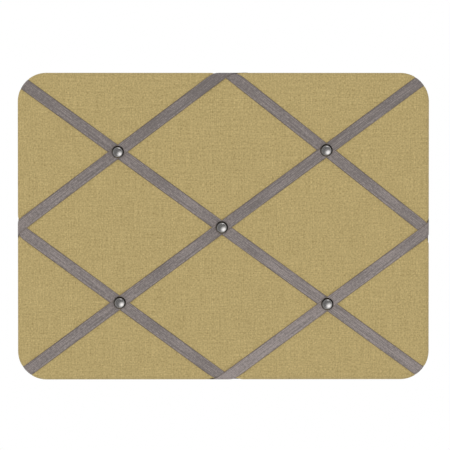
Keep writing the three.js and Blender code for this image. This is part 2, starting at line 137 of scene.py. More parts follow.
class Shade:
    """A socket of a node tree. Arithmetic on it adds Math nodes and gives their result."""

    def __init__(self, nodes, socket):
        self.nodes = nodes
        self.socket = socket

    def apply(self, operation, *others):
        """A Math node's result for this value and the others."""
        return self.nodes.node("Math", {"operation": operation}, dict(enumerate((self, *others))))

    def __add__(self, other):
        return self.apply("ADD", other)

    def __sub__(self, other):
        return self.apply("SUBTRACT", other)

    def __rsub__(self, other):
        return self * -1 + other

    def __mul__(self, other):
        return self.apply("MULTIPLY", other)

    __radd__ = __add__
    __rmul__ = __mul__

    def __abs__(self):
        return self.apply("ABSOLUTE")

    def sine(self):
        return self.apply("SINE")

    def larger(self, other):
        return self.apply("MAXIMUM", other)

    def between(self, low, high):
        """0 below low, 1 above high and a smooth step between them."""
        ends = {"Value": self, "From Min": low, "From Max": high}
        return self.nodes.node("MapRange", {"interpolation_type": "SMOOTHSTEP"}, ends)


class Nodes:
    """The node tree of a material or a world, filled by expressions."""

    def __init__(self, owner):
        owner.use_nodes = True
        self.tree = owner.node_tree
        self.tree.nodes.clear()

    def node(self, kind, settings=None, sockets=None, output=0):
        """Adds a node of that kind: its settings first, then the values or links of its sockets."""
        node = self.tree.nodes.new("ShaderNode" + kind)
        for name, value in (settings or {}).items():
            setattr(node, name, value)
        for name, value in (sockets or {}).items():
            socket = self.find(node.inputs, name)
            if isinstance(value, Shade):
                self.tree.links.new(value.socket, socket)
            else:
                socket.default_value = value
        if node.outputs:
            return Shade(self, self.find(node.outputs, output))
        return None

    @staticmethod
    def find(sockets, name):
        """A socket by its place in the list, its identifier or its name."""
        if isinstance(name, int):
            return sockets[name]
        return next(socket for socket in sockets if name in (socket.identifier, socket.name))

    def mix(self, share, one, other):
        """A colour that goes from one to the other as share goes from 0 to 1."""
        ends = {"Factor_Float": share, "A_Color": one, "B_Color": other}
        return self.node("Mix", {"data_type": "RGBA"}, ends, "Result_Color")

    def axis(self, vector, name):
        """One axis of a vector."""
        return self.node("SeparateXYZ", None, {0: vector}, name)

    def noise(self, place, lengths, detail):
        """Smooth noise around 0.5, whose cells have the given lengths along the place's axes."""
        factors = tuple(1 / length for length in lengths)
        cells = self.node("VectorMath", {"operation": "MULTIPLY"}, {0: place, 1: factors})
        return self.node("TexNoise", None, {"Vector": cells, "Scale": 1.0, "Detail": detail})


class Finish(Nodes):
    """The node tree of a new material."""

    def __init__(self, name):
        self.material = bpy.data.materials.new(name)
        super().__init__(self.material)

    def grain(self, length, detail):
        """Noise through the solid, whose cells have one length along all axes."""
        return self.noise(self.node("TexCoord", output="Object"), [length] * 3, detail)

    def bump(self, height, relief):
        """The normal of a surface that is raised by a height from 0 to 1 of its relief."""
        return self.node("Bump", None, {"Height": height, "Distance": relief, "Strength": 1.0})

    def shown(self, shader):
        """The material, with a shader as its surface."""
        self.node("OutputMaterial", None, {"Surface": shader})
        return self.material

    def made(self, sockets):
        """The material, with a Principled shader that has the values or links of its sockets."""
        return self.shown(self.node("BsdfPrincipled", None, sockets))


world = bpy.data.worlds.new("studio")
scene.world = world
studio = Nodes(world)
camera_ray, glossy_ray, transmission_ray = (
    studio.node("LightPath", output=f"Is {kind} Ray") for kind in ("Camera", "Glossy", "Transmission")
)
white_backdrop = studio.node("Background", None, {"Color": WHITE, "Strength": 1.0})
room_light = studio.node("Background", None, {"Color": WHITE, "Strength": ROOM_LIGHT})
seen = camera_ray.larger(glossy_ray).larger(transmission_ray)
backdrop = studio.node("MixShader", None, {0: seen, 1: room_light, 2: white_backdrop})
studio.node("OutputWorld", None, {"Surface": backdrop})

window_light = bpy.data.lights.new("window", "SUN")
window_light.energy = WINDOW_STRENGTH
window_light.angle = WINDOW_SPREAD
window = bpy.data.objects.new("window", window_light)
window.rotation_euler = Vector(WINDOW_FROM).to_track_quat("Z", "Y").to_euler()
window.visible_glossy = False
scene.collection.objects.link(window)


def add_stage(name, corners, material):
    """A flat four-cornered sheet that belongs to the studio."""
    mesh = bpy.data.meshes.new(name)
    mesh.from_pydata(corners, [], [(0, 1, 2, 3)])
    mesh.materials.append(material)
    sheet = bpy.data.objects.new(name, mesh)
    scene.collection.objects.link(sheet)
    return sheet


def floor_finish():
    """Matte and pale under the object, and plain white to the camera further away."""
    finish = Finish("floor")
    place = finish.node("TexCoord", output="Object")
    far = finish.node("VectorMath", {"operation": "LENGTH"}, {0: place}, "Value")
    paint = finish.node("BsdfDiffuse", None, {"Color": FLOOR_COLOUR})
    white = finish.node("Emission", None, {"Color": WHITE, "Strength": 1.0})
    from_camera = finish.node("LightPath", output="Is Camera Ray")
    share = far.between(FLOOR_SHADOW_NEAR, FLOOR_SHADOW_FAR) * from_camera
    return finish.shown(finish.node("MixShader", None, {0: share, 1: paint, 2: white}))


def add_reflection(name, corners, strength, soft=False):
    """A flat bright sheet that shows only in reflections. A soft one fades away from its middle."""
    finish = Finish(name)
    surface = finish.node("Emission", None, {"Color": WHITE, "Strength": strength})
    if soft:
        middle = (corners[0] + corners[2]) / 2
        reach = (corners[1] - corners[0]).length / 2
        place = finish.node("TexCoord", output="Object")
        away = finish.node("VectorMath", {"operation": "DISTANCE"}, {0: place, 1: middle}, "Value")
        clear = finish.node("BsdfTransparent")
        surface = finish.node("MixShader", None, {0: away.between(0, reach), 1: surface, 2: clear})
    sheet = add_stage(name, corners, finish.shown(surface))
    for ray in ("camera", "diffuse", "shadow", "transmission"):
        setattr(sheet, f"visible_{ray}", False)


def square_facing(source, half_side):
    """The corners of a square that faces the board from a direction."""
    towards = Vector(source).normalized()
    right = towards.orthogonal().normalized() * half_side
    up = towards.cross(right)
    middle = towards * CARD_DISTANCE
    return [middle + right * x + up * y for x, y in SQUARE]


floor_level = cad_low.z - FLOOR_DROP
floor_corners = [(x * FLOOR_HALF_SIDE, y * FLOOR_HALF_SIDE, floor_level) for x, y in SQUARE]
floor = add_stage("floor", floor_corners, floor_finish())
floor.visible_shadow = False
floor.visible_glossy = False
screen_corners = [
    (SCREEN_MIDDLE + x * SCREEN_HALF_SIDE, -SCREEN_AHEAD, SCREEN_MIDDLE + z * SCREEN_HALF_SIDE)
    for z, x in SQUARE
]
add_reflection("grey_screen", screen_corners, SCREEN_GREY)
add_reflection("glow", square_facing(GLOW_FROM, GLOW_HALF_SIDE), GLOW_STRENGTH, soft=True)
add_reflection("top_card", square_facing(TOP_CARD_FROM, TOP_CARD_HALF_SIDE), TOP_CARD_STRENGTH)


# Core board
# The stiff panel that everything is stretched over and stapled to: medium-density fibreboard, sawn to
# a rounded rectangle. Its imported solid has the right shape, so it only gets its finish.
FIBREBOARD_PALE = (0.47, 0.31, 0.17, 1)
FIBREBOARD_DARK = (0.33, 0.20, 0.10, 1)
FIBREBOARD_CLUMP = 0.004
FIBREBOARD_FIBRE = 0.0006
FIBREBOARD_RELIEF = 0.0001


def fibreboard():
    """Pressed wood fibre: soft clumps with fine fibres between."""
    finish = Finish("fibreboard")
    clump = finish.grain(FIBREBOARD_CLUMP, 3.0)
    fibre = finish.grain(FIBREBOARD_FIBRE, 2.0)
    tone = (0.4 * clump + 0.6 * fibre).between(0.35, 0.65)
    return finish.made({
        "Base Color": finish.mix(tone, FIBREBOARD_DARK, FIBREBOARD_PALE),
        "Roughness": 0.8 + 0.2 * fibre,
        "Normal": finish.bump(fibre, FIBREBOARD_RELIEF),
    })


def dress(node, material):
    """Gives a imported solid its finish."""
    mesh = frame["nodes"][node].data
    mesh.materials.clear()
    mesh.materials.append(material)


dress("core_board", fibreboard())


# Wadding
# Polyester wadding laid over the front of the core and turned down round its sides. The ribbons and
# the stretched cloth draw it down, so it swells into a pillow in each field between them.
CORNER_RADIUS = 0.031
FRONT_ROLL = 0.006
BACK_ROLL = 0.002
RIBBON_WIDTH = 0.0127
PILLOW_RISE = 0.003
PILLOW_REACH = 0.060
EDGE_REACH = 0.040
SHOULDER_RISE = 0.0005
SHOULDER_REACH = 0.0045
CHANNEL_SINK = 0.0002
EDGE_SINK = 0.0007
EDGE_SINK_REACH = 0.012
CROSSING_SINK = 0.0004
CROSSING_REACH = 0.014
CROSSING_FADE = 0.010
PRESS_REACH = 0.0025
POCKET_GAP = 0.0003
WADDING_INSET = 0.0011
WADDING_CELL = 0.004
WADDING_RINGS = 14
WADDING_WHITE = (0.86, 0.85, 0.81, 1)
WADDING_SHADE = (0.70, 0.69, 0.65, 1)
WADDING_TUFT = 0.006
WADDING_FIBRE = 0.0007
WADDING_RELIEF = 0.0004
WELD_DISTANCE = 1e-6

half_width = board_width / 2
half_height = board_height / 2
corner_x = half_width - CORNER_RADIUS
corner_z = half_height - CORNER_RADIUS
front_level = cloth_low[1] + PILLOW_RISE
hem_level = cloth_high[1]
roll_arc = FRONT_ROLL * math.pi / 2
side_run = hem_level - BACK_ROLL - front_level - FRONT_ROLL
back_arc = BACK_ROLL * math.pi / 2
back_run = roll_arc + side_run + back_arc


def edge_end(side_x, side_z, lay):
    """A ribbon's end at the middle of an edge, moved along the edge by how it was laid by hand."""
    normal = np.array([side_x, side_z], float)
    place = normal * (half_width, half_height) + lay * np.abs(normal[::-1])
    return {"place": place, "normal": normal, "tangent": normal[::-1] * (1, -1), "round": False}


def corner_end(side_x, side_z, lay):
    """A ribbon's end at the middle of a round corner, moved along the arc by how it was laid."""
    angle = math.pi / 4 + lay / CORNER_RADIUS
    normal = np.array([side_x * math.cos(angle), side_z * math.sin(angle)])
    place = np.array([side_x * corner_x, side_z * corner_z]) + CORNER_RADIUS * normal
    return {"place": place, "normal": normal, "tangent": normal[::-1] * (1, -1), "round": True}


RIBBONS = {
    "long_falling": (corner_end(-1, 1, -0.0037), corner_end(1, -1, 0.0005)),
    "top_right": (edge_end(0, 1, 0.0053), edge_end(1, 0, -0.0059)),
    "bottom_left": (edge_end(-1, 0, -0.0021), edge_end(0, -1, 0.0019)),
    "long_rising": (corner_end(-1, -1, 0.0002), corner_end(1, 1, 0.0006)),
    "top_left": (edge_end(-1, 0, -0.0011), edge_end(0, 1, -0.0007)),
    "bottom_right": (edge_end(0, -1, 0.0006), edge_end(1, 0, -0.0030)),
}


def ribbon_line(name):
    """A ribbon's start, its direction over the front and its length from edge to edge."""
    first, last = RIBBONS[name]
    way = last["place"] - first["place"]
    length = np.linalg.norm(way)
    return first["place"], way / length, length


def smooth(share):
    """A smooth step from 0 to 1: three times the share's square less twice its cube."""
    share = np.clip(share, 0, 1)
    return share * share * (3 - 2 * share)


def swell(share):
    """A quarter sine wave, squared: level at both ends."""
    return np.sin(np.clip(share, 0, 1) * math.pi / 2) ** 2


def inside_edge(x, z):
    """How far a place lies inside the outline: in from the nearer side, or in a corner from its arc."""
    over_x = np.abs(x) - corner_x
    over_z = np.abs(z) - corner_z
    in_corner = (over_x > 0) & (over_z > 0)
    from_sides = CORNER_RADIUS - np.maximum(over_x, over_z)
    return np.where(in_corner, CORNER_RADIUS - np.hypot(over_x, over_z), from_sides)


def across_from(name, x, z):
    """How far a place on the flat cloth lies from a ribbon's middle line."""
    start, way, _ = ribbon_line(name)
    return np.abs((x - start[0]) * way[1] - (z - start[1]) * way[0])


def under_ribbon(x, z, reach):
    """1 at places on the flat cloth under a ribbon, falling smoothly to 0 over a reach beside it."""
    clear = 1.0
    for name in RIBBONS:
        clear = clear * smooth((across_from(name, x, z) - RIBBON_WIDTH / 2) / reach)
    return 1 - clear


def near_edge(run):
    """0 on the front, rising smoothly to 1 where the cloth starts to roll over the edge."""
    return smooth(run / EDGE_SINK_REACH + 1)


def ribbon_press(x, z, run):
    """How far a ribbon draws the cloth down: a little on the front, most at the edge, not at the back.

    Where two ribbons cross, at the middle of an edge, they sink deeper.
    """
    from_middle = np.minimum(np.abs(x), np.abs(z))
    crossing = 1 - smooth((from_middle - CROSSING_REACH) / CROSSING_FADE)
    at_edge = EDGE_SINK + CROSSING_SINK * crossing
    until_back = 1 - smooth((run - roll_arc - side_run) / back_arc)
    return (CHANNEL_SINK + (at_edge - CHANNEL_SINK) * near_edge(run)) * until_back


def cloth_press(x, z, run):
    """How far the cloth is drawn down at a place: fully under a ribbon, and less and less beside it."""
    return ribbon_press(x, z, run) * under_ribbon(x, z, PRESS_REACH)


def front_height(x, z):
    """The cloth's height over the level of its edges: a low shoulder by the ribbons, then a slow swell.

    The swell is a product of one factor for each ribbon, which grows with the distance across from
    it, and one for the edge. Under the ribbons the cloth is drawn down.
    """
    inside = inside_edge(x, z) - FRONT_ROLL
    pillow = swell(inside / EDGE_REACH)
    for name in RIBBONS:
        pillow = pillow * swell(across_from(name, x, z) / PILLOW_REACH)
    shoulder = smooth(inside / SHOULDER_REACH) * (1 - under_ribbon(x, z, SHOULDER_REACH))
    swollen = (PILLOW_RISE - SHOULDER_RISE) * pillow + SHOULDER_RISE * shoulder
    return swollen - cloth_press(x, z, -inside)


def edge_profile(run, height=0.0):
    """The cloth's way round the edge: how far out from the outline and how deep, square to the edge.

    The run starts where the front roll starts. A quarter circle leads to the straight side, a smaller
    one to the back, and the hem runs in over the back. The height is added square to the cloth.
    """
    front_turn = np.clip(run / FRONT_ROLL, 0, math.pi / 2)
    down_side = np.clip(run - roll_arc, 0, side_run)
    back_turn = np.clip((run - roll_arc - side_run) / BACK_ROLL, 0, math.pi / 2)
    over_back = np.maximum(run - back_run, 0)
    out = np.minimum(run, 0) - FRONT_ROLL + FRONT_ROLL * np.sin(front_turn)
    out = out - BACK_ROLL * (1 - np.cos(back_turn)) - over_back
    deep = front_level + FRONT_ROLL * (1 - np.cos(front_turn))
    deep = deep + down_side + BACK_ROLL * np.sin(back_turn)
    turn = front_turn + back_turn
    return out + height * np.sin(turn), deep - height * np.cos(turn)


def grid_lines(straight, radius, cell, corner_cell):
    """The places of a grid's lines from end to end: one step between the corners, another in them.

    Their number doesn't depend on the radius, so plans one inside the other have matching outlines.
    """
    corner = np.linspace(straight, straight + radius, round(CORNER_RADIUS / corner_cell) + 1)
    middle = np.linspace(-straight, straight, round(2 * straight / cell) + 1)
    return np.concatenate([-corner[:0:-1], middle, corner[1:]])


def board_plan(inset, cell, corner_cell):
    """A grid over the board, a distance inside its outline, with its corners drawn in to the round.

    In each corner's square the place (a, b), from 0 to 1 outwards, moves to
    (a sqrt(1 - b^2 / 2), b sqrt(1 - a^2 / 2)), which turns the square into a quarter disc.
    """
    radius = CORNER_RADIUS - inset
    lines = [grid_lines(straight, radius, cell, corner_cell) for straight in (corner_x, corner_z)]
    x, z = np.meshgrid(*lines)
    a = np.clip((np.abs(x) - corner_x) / radius, 0, 1)
    b = np.clip((np.abs(z) - corner_z) / radius, 0, 1)
    round_x = np.minimum(np.abs(x), corner_x) + radius * a * np.sqrt(1 - b * b / 2)
    round_z = np.minimum(np.abs(z), corner_z) + radius * b * np.sqrt(1 - a * a / 2)
    return np.sign(x) * round_x, np.sign(z) * round_z


def outline_of(grid):
    """The points round a grid's edge, anticlockwise seen from the front, with the first one again."""
    bottom, right, top, left = grid[0, :-1], grid[:-1, -1], grid[-1, :0:-1], grid[:0:-1, 0]
    return np.concatenate([bottom, right, top, left, bottom[:1]])


def outward(x, z):
    """The board's outward direction at places on its outline or a little inside it."""
    from_x = x - np.clip(x, -corner_x, corner_x)
    from_z = z - np.clip(z, -corner_z, corner_z)
    length = np.hypot(from_x, from_z)
    return from_x / length, from_z / length


def rim_of(x, z):
    """The places round a plan's edge and the outward directions there, as columns."""
    edge_x, edge_z = outline_of(x)[:, None], outline_of(z)[:, None]
    return edge_x, edge_z, *outward(edge_x, edge_z)


def past_rim(rim, out):
    """The x and z of the places at a distance out past a rim's places."""
    edge_x, edge_z, out_x, out_z = rim
    return edge_x + out_x * out, edge_z + out_z * out


def points(*coordinates):
    """Coordinates, spread to one shape, as points."""
    return np.stack(np.broadcast_arrays(*coordinates), axis=-1)


def add_piece(name, grids, material, body, cut=None, tone=None):
    """A smooth mesh from grids of points, welded where they meet, that rides on a body.

    Seen from outside, a grid's columns run to the right as its rows run up. cut gives each grid's
    places on the flat material, in metres, for the pattern, and tone a shade for each point.
    """
    corners = []
    start = 0
    for grid in grids:
        index = start + np.arange(grid.shape[0] * grid.shape[1]).reshape(grid.shape[:2])
        around = [index[:-1, :-1], index[:-1, 1:], index[1:, 1:], index[1:, :-1]]
        corners.append(np.stack(around, axis=-1).reshape(-1, 4))
        start += index.size
    corners = np.concatenate(corners)
    places = np.concatenate([grid.reshape(-1, 3) for grid in grids])
    mesh = bpy.data.meshes.new(name)
    mesh.from_pydata(places.tolist(), [], corners.tolist())
    if cut:
        flat = np.concatenate([part.reshape(-1, 2) for part in cut])
        layer = mesh.uv_layers.new(name="cut")
        layer.data.foreach_set("uv", flat[corners.ravel()].ravel())
    if tone is not None:
        shades = mesh.attributes.new("tone", "FLOAT", "POINT")
        shades.data.foreach_set("value", tone.ravel())
    welded = bmesh.new()
    welded.from_mesh(mesh)
    bmesh.ops.remove_doubles(welded, verts=welded.verts, dist=WELD_DISTANCE)
    welded.to_mesh(mesh)
    welded.free()
    mesh.shade_smooth()
    mesh.materials.append(material)
    piece = bpy.data.objects.new(name, mesh)
    scene.collection.objects.link(piece)
    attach(piece, body)
    return piece


def wadding():
    """White fibre in loose tufts."""
    finish = Finish("wadding")
    tuft = finish.grain(WADDING_TUFT, 4.0)
    fibre = finish.grain(WADDING_FIBRE, 3.0)
    tone = (0.5 * tuft + 0.5 * fibre).between(0.3, 0.6)
    return finish.made({
        "Base Color": finish.mix(tone, WADDING_SHADE, WADDING_WHITE),
        "Roughness": 0.9 + 0.1 * fibre,
        "Normal": finish.bump(fibre, WADDING_RELIEF),
    })


def wadding_grids():
    """The pillowed front, the sides down to the core's back, and the pocket that the core fills."""
    core_low, core_high = box("core_board")
    foot_level = box("wadding_pad")[1][1]
    pocket_inset = half_width - core_high[0] - POCKET_GAP
    pocket_floor = core_low[1] - POCKET_GAP
    front_x, front_z = board_plan(FRONT_ROLL, WADDING_CELL, WADDING_CELL)
    front = points(front_x, front_level + WADDING_INSET - front_height(front_x, front_z), front_z)
    rim = rim_of(front_x, front_z)
    run = np.linspace(0, roll_arc + side_run, WADDING_RINGS)[None, :]
    out, deep = edge_profile(run, -WADDING_INSET - cloth_press(*past_rim(rim, run), run))
    foot = np.ones_like(rim[0])
    out = np.concatenate([out, out[:, -1:], -pocket_inset * foot, -pocket_inset * foot], axis=1)
    deep = np.concatenate([deep, foot_level * foot, foot_level * foot, pocket_floor * foot], axis=1)
    side_x, side_z = past_rim(rim, out + FRONT_ROLL)
    sides = points(side_x, deep, side_z)
    pocket_x, pocket_z = board_plan(pocket_inset, WADDING_CELL, WADDING_CELL)
    pocket = points(pocket_x, pocket_floor, pocket_z)[:, ::-1]
    return [front, sides, pocket]


pad = add_piece("wadding", wadding_grids(), wadding(), "board")
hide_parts("wadding_pad")


# Cover cloth
# Plain-weave khaki cloth, slubby like linen, cut with round corners, stretched over the wadding and
# stapled to the back of the core. Its hem puffs up before the staples and is pleated at the corners.
CLOTH_CELL = 0.0016
ROLL_RINGS = 9
SIDE_RINGS = 4
HEM_RINGS = 22
HEM_WIDTH = 0.016
PUFF_RISE = 0.0012
PUFF_TOP = (0.0055, 0.0072)
PUFF_FOOT = 0.0092
PUFF_REACH = 0.004
PLEATS = 2
PLEAT_RISE = 0.0009
PLEAT_CLEAR = 0.0075
PLEAT_START = 0.002
PLEAT_FULL = 0.006
PLEAT_POWER = 0.7
CLOTH_DARK = (0.341, 0.255, 0.099, 1)
CLOTH_LIGHT = (0.688, 0.540, 0.244, 1)
CLOTH_TONE = 0.36
WEAVE_CONTRAST = 0.22
STREAK_CONTRAST = 0.35
CLOTH_SPECULAR = 0.15
CLOTH_RELIEF = 0.00022
THREAD = 0.00055
THREAD_UNDER = 0.4
THREAD_TURN = 0.4
SLUB_WIDTH = 0.00105
SLUB_LENGTH = 0.0026
STREAK_LENGTH = 0.03

hem_run = back_run + HEM_WIDTH - BACK_ROLL


def plain_weave(across, up, thread):
    """Height of a plain weave from 0 to 1: each thread is a ridge, and over and under take turns.

    With a = sin(pi x / thread) and b = sin(pi z / thread), the one thread's ridge is |a|, the other's
    is |b|, and the sign of a b says which lies on top.
    """
    a = (across * (math.pi / thread)).sine()
    b = (up * (math.pi / thread)).sine()
    over = (a * b).between(-THREAD_TURN, THREAD_TURN)
    warp = abs(a) * (THREAD_UNDER + (1 - THREAD_UNDER) * over)
    weft = abs(b) * (1.0 - (1 - THREAD_UNDER) * over)
    return warp.larger(weft)


def slubs(finish, flat, length, width, detail):
    """Thick and thin places along both sets of threads, around 0."""
    weft = finish.noise(flat, (length, width, 1), detail)
    warp = finish.noise(flat, (width, length, 1), detail)
    return weft + warp - 1.0


def khaki_cloth():
    """Two slubby sets of threads: short thick places, and long faint streaks along each thread."""
    finish = Finish("khaki_cloth")
    flat = finish.node("UVMap", {"uv_map": "cut"})
    weave = plain_weave(finish.axis(flat, "X"), finish.axis(flat, "Y"), THREAD)
    slub = slubs(finish, flat, SLUB_LENGTH, SLUB_WIDTH, 1.0)
    streak = slubs(finish, flat, STREAK_LENGTH, SLUB_WIDTH, 0.0)
    tone = CLOTH_TONE + WEAVE_CONTRAST * weave + slub + STREAK_CONTRAST * streak
    return finish.made({
        "Base Color": finish.mix(tone, CLOTH_DARK, CLOTH_LIGHT),
        "Roughness": 0.99 - 0.08 * weave,
        "Specular IOR Level": CLOTH_SPECULAR,
        "Normal": finish.bump(0.8 * weave + 0.4 * slub, CLOTH_RELIEF),
    })


def pleat_height(out_x, out_z, run):
    """Small pleats in the hem on both sides of each corner's middle, growing from the back roll in.

    The place along the corner is its radius times the angle from the corner's middle. Each pleat is a
    raised cosine wave, and a power below 1 makes it fuller.
    """
    angle = np.arctan2(np.abs(out_z), np.abs(out_x)) - math.pi / 4
    along = np.abs(angle) * CORNER_RADIUS
    half_arc = CORNER_RADIUS * math.pi / 4
    share = np.clip((along - PLEAT_CLEAR) / (half_arc - PLEAT_CLEAR), 0, 1)
    wave = (0.5 - 0.5 * np.cos(2 * math.pi * PLEATS * share)) ** PLEAT_POWER
    grown = smooth((run - back_run + PLEAT_START) / PLEAT_FULL)
    return PLEAT_RISE * wave * grown


def puff_height(run):
    """The hem's swell between the back roll and the staples: up, level and down again.

    It is measured by how far the hem has come in from the board's outline.
    """
    inset = run - back_run + BACK_ROLL
    up = smooth((inset - BACK_ROLL) / (PUFF_TOP[0] - BACK_ROLL))
    down = smooth((PUFF_FOOT - inset) / (PUFF_FOOT - PUFF_TOP[1]))
    return PUFF_RISE * up * down


def under_tail(x, z, reach):
    """1 at places on the hem under a ribbon's tail, falling smoothly to 0 over a reach beside it.

    Folded over the edge, a ribbon goes on along the edge by its slant times its way past the outline.
    """
    clear = 1.0
    places = points(x, z)
    for name, ends in RIBBONS.items():
        _, way, _ = ribbon_line(name)
        for end in ends:
            inset = (end["place"] - places) @ end["normal"]
            aside = (places - end["place"]) @ end["tangent"]
            past_outline = inset + back_run - BACK_ROLL - FRONT_ROLL
            across = np.abs(aside * (way @ end["normal"]) - past_outline * (way @ end["tangent"]))
            beside = smooth((across - RIBBON_WIDTH / 2) / reach)
            clear = clear * np.where(inset < 2 * HEM_WIDTH, beside, 1)
    return 1 - clear


def cloth_grids():
    """The cloth's pillowed front, then its way round the edge to the end of the hem, and their cut."""
    front_x, front_z = board_plan(FRONT_ROLL, CLOTH_CELL, CLOTH_CELL)
    front = points(front_x, front_level - front_height(front_x, front_z), front_z)
    rim = rim_of(front_x, front_z)
    run = np.concatenate([
        np.linspace(0, roll_arc, ROLL_RINGS),
        np.linspace(roll_arc, roll_arc + side_run, SIDE_RINGS)[1:],
        np.linspace(roll_arc + side_run, back_run, ROLL_RINGS // 2)[1:],
        np.linspace(back_run, hem_run, HEM_RINGS)[1:],
    ])[None, :]
    flat = past_rim(rim, run)
    inwards = edge_profile(run)[0] + FRONT_ROLL
    free = 1 - under_tail(*past_rim(rim, inwards), PUFF_REACH)
    raised = free * (pleat_height(*rim[2:], run) + puff_height(run))
    out, deep = edge_profile(run, raised - cloth_press(*flat, run))
    edge_x, edge_z = past_rim(rim, out + FRONT_ROLL)
    turned_over = points(edge_x, deep, edge_z)
    return [front, turned_over], [points(front_x, front_z), points(*flat)]


cloth_parts, cloth_cut = cloth_grids()
cloth = add_piece("cloth_cover", cloth_parts, khaki_cloth(), "board", cloth_cut)
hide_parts("cover_cloth")
cut_margin = hem_run - FRONT_ROLL
cut_width = board_width + 2 * cut_margin
cut_height = board_height + 2 * cut_margin
cut_corner = CORNER_RADIUS + cut_margin
cut_area = cut_width * cut_height - (4 - math.pi) * cut_corner**2


# Ribbons
# Warm grey ribbed ribbon, half an inch wide, drawn tight over the cloth, turned round the edges and
# stapled to the core behind. The rising ribbons lie over the falling ones.
RIBBON_THICKNESS = 0.0005
RIBBON_GAP = 0.0001
RIBBON_CROWN = 0.0004
RIBBON_STEP = 0.0012
RIBBON_SECTION = 17
BEND_STEP = 0.0005
BEND_ZONE = 0.024
LIFT_MARGIN = 0.002
LIFT_RAMP = 0.008
SAG_LIMIT = 0.9 * CORNER_RADIUS
TAIL_RAMP = 0.003
TAIL_LENGTH = 0.016
RIBBON_DARK = (0.148, 0.127, 0.120, 1)
RIBBON_LIGHT = (0.342, 0.293, 0.277, 1)
RIBBON_TONE = 0.05
RIB_CONTRAST = 0.35
RIBBON_SLUB_CONTRAST = 1.35
RIBBON_STREAK_CONTRAST = 1.9
RIBBON_SPECULAR = 0.35
RIBBON_RELIEF = 0.00012
RIB = 0.0008
RIBBON_SLUB_WIDTH = 0.0009
RIBBON_SLUB_LENGTH = 0.0034
RIBBON_STREAK = 0.04
# A darker woven edge, painted darker still as the thin shadow line along the ribbon's edges.
SELVEDGE_AND_SHADOW_COLOUR = (0.120, 0.092, 0.068, 1)
SELVEDGE_AND_SHADOW_WIDTH = 0.0011

# Painted sheen: each ribbon painted lighter or darker at its start and finish, as the light catches it.
RIBBON_PAINTED_SHEEN = {
    "long_falling": (-0.09, 0.20),
    "top_right": (-0.05, 0.03),
    "bottom_left": (0.14, -0.03),
    "long_rising": (0.11, -0.11),
    "top_left": (0.18, -0.25),
    "bottom_right": (0.45, 0.06),
}

# The upper and the lower ribbon under each tack, and the ribbons that lie on top at the edges.
CROSSINGS = {
    "tack_centre": ("long_rising", "long_falling"),
    "tack_upper_left": ("top_left", "long_falling"),
    "tack_upper_right": ("long_rising", "top_right"),
    "tack_lower_left": ("long_rising", "bottom_left"),
    "tack_lower_right": ("bottom_right", "long_falling"),
}
OVER_AT_EDGES = ("top_left", "bottom_right")

core_level = box("core_board")[1][1]


def grey_ribbon():
    """Ribs, streaks along it, a darker woven edge with painted shadow on it, and a painted sheen."""
    finish = Finish("grey_ribbon")
    flat = finish.node("UVMap", {"uv_map": "cut"})
    rib = abs((finish.axis(flat, "X") * (math.pi / RIB)).sine())
    slub = slubs(finish, flat, RIBBON_SLUB_LENGTH, RIBBON_SLUB_WIDTH, 1.0)
    streak = finish.noise(flat, (RIBBON_STREAK, RIBBON_SLUB_WIDTH, 1), 1.0) - 0.5
    # Painted sheen: a tone painted along each ribbon, lighter or darker as the light catches it.
    painted_sheen = finish.node("Attribute", {"attribute_name": "tone"}, None, "Fac")
    tone = RIBBON_TONE + painted_sheen + RIB_CONTRAST * rib
    tone = tone + RIBBON_SLUB_CONTRAST * slub + RIBBON_STREAK_CONTRAST * streak
    body = finish.mix(tone, RIBBON_DARK, RIBBON_LIGHT)
    from_middle = abs(finish.axis(flat, "Y"))
    # The woven edge is darker, and is also painted darker as the shadow line along the ribbon's edges.
    selvedge_and_shadow = from_middle.between(RIBBON_WIDTH / 2 - SELVEDGE_AND_SHADOW_WIDTH, RIBBON_WIDTH / 2)
    return finish.made({
        "Base Color": finish.mix(0.8 * selvedge_and_shadow, body, SELVEDGE_AND_SHADOW_COLOUR),
        "Roughness": 0.68 - 0.12 * rib,
        "Specular IOR Level": RIBBON_SPECULAR,
        "Normal": finish.bump(0.8 * rib + 0.3 * slub, RIBBON_RELIEF),
    })


def seen_middle(node):
    """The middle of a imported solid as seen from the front, in x and z."""
    low, high = box(node)
    return ((low + high) / 2)[[0, 2]]


def overlap_reach(one, other):
    """How far one ribbon lies over another, along it from the middle of their crossing.

    That is half a width times (1 + cosine) / sine of the angle between them, and a margin.
    """
    cosine = abs(ribbon_line(one)[1] @ ribbon_line(other)[1])
    return RIBBON_WIDTH / 2 * (1 + cosine) / math.sqrt(1 - cosine**2) + LIFT_MARGIN


def lift_over(name, along):
    """How far a ribbon is raised along its run: over the ribbons it crosses, and at its ends."""
    start, way, length = ribbon_line(name)
    raised = np.zeros_like(along)
    for tack_name, (over, under) in CROSSINGS.items():
        if over == name:
            apart = np.abs(along - (seen_middle(tack_name) - start) @ way)
            raised = np.maximum(raised, 1 - smooth((apart - overlap_reach(over, under)) / LIFT_RAMP))
    if name in OVER_AT_EDGES:
        apart = np.minimum(along, length - along)
        raised = np.maximum(raised, 1 - smooth((apart - 2 * RIBBON_WIDTH) / LIFT_RAMP))
    return (RIBBON_THICKNESS + RIBBON_GAP) * raised


def ribbon_section():
    """The ribbon's section as a loop: over the top from one edge to the other, and back underneath.

    The thickness falls off at the round edges as sqrt(1 - w^8), where w is the share of the half
    width, and the padding crowns the ribbon by 1 - w^2. The points lie closer towards the edges.
    """
    over = np.sin(np.linspace(-1, 1, RIBBON_SECTION) * math.pi / 2)
    share = np.concatenate([over, over[-2::-1]])
    side = np.concatenate([np.ones_like(over), -np.ones_like(over[1:])])
    thick = (1 + side * np.sqrt(1 - share**8)) * RIBBON_THICKNESS / 2
    return share * RIBBON_WIDTH / 2, thick, RIBBON_CROWN * (1 - share**2)


def step_run(end, way):
    """How far round the edge's profile a ribbon steps off the hem: past the hem's end and its slant."""
    return hem_run + RIBBON_WIDTH / 2 / abs(way @ end["normal"])


